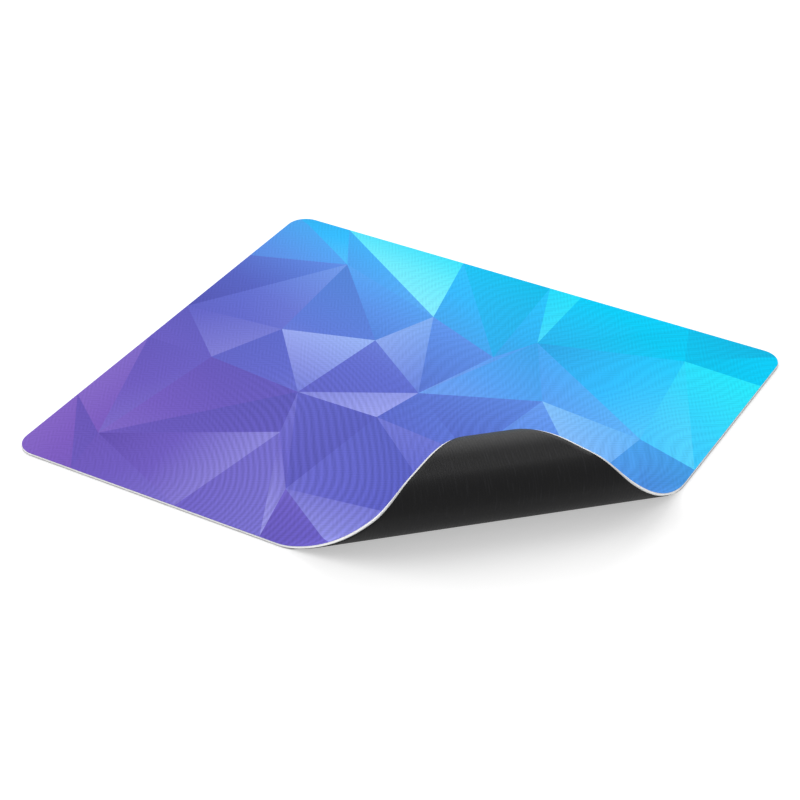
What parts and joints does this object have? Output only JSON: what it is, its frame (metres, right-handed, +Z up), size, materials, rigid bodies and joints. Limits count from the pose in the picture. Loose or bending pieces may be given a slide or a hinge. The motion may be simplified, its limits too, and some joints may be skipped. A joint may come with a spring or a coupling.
{
  "type": "mouse pad",
  "caption": "Thin laminated mouse pad with rounded corners, lying flat with one front corner rolled up and over to show its black non-slip underside.",
  "frame": {"origin": "middle of the pad's underside, on the table", "axes": "+X along the long side, +Y along the short side away from the user, +Z up; the rolled corner is at +X, -Y"},
  "size_m": [0.2287, 0.2033, 0.0322],
  "materials": {
    "printed_cloth": "fine woven polyester, dye-printed with a violet to cyan faceted gradient, matt",
    "bonding_film": "milky hot-melt film, smooth, seen only at the cut edge",
    "white_foam": "white closed-cell foam, matt, die-cut edge",
    "black_rubber": "matt black non-slip rubber with fine fabric-pressed ribs"
  },
  "bodies": {
    "root": {"print_cloth": "printed_cloth", "bonding_film": "bonding_film", "foam_core": "white_foam", "rubber_base": "black_rubber"}
  },
  "joints": []
}
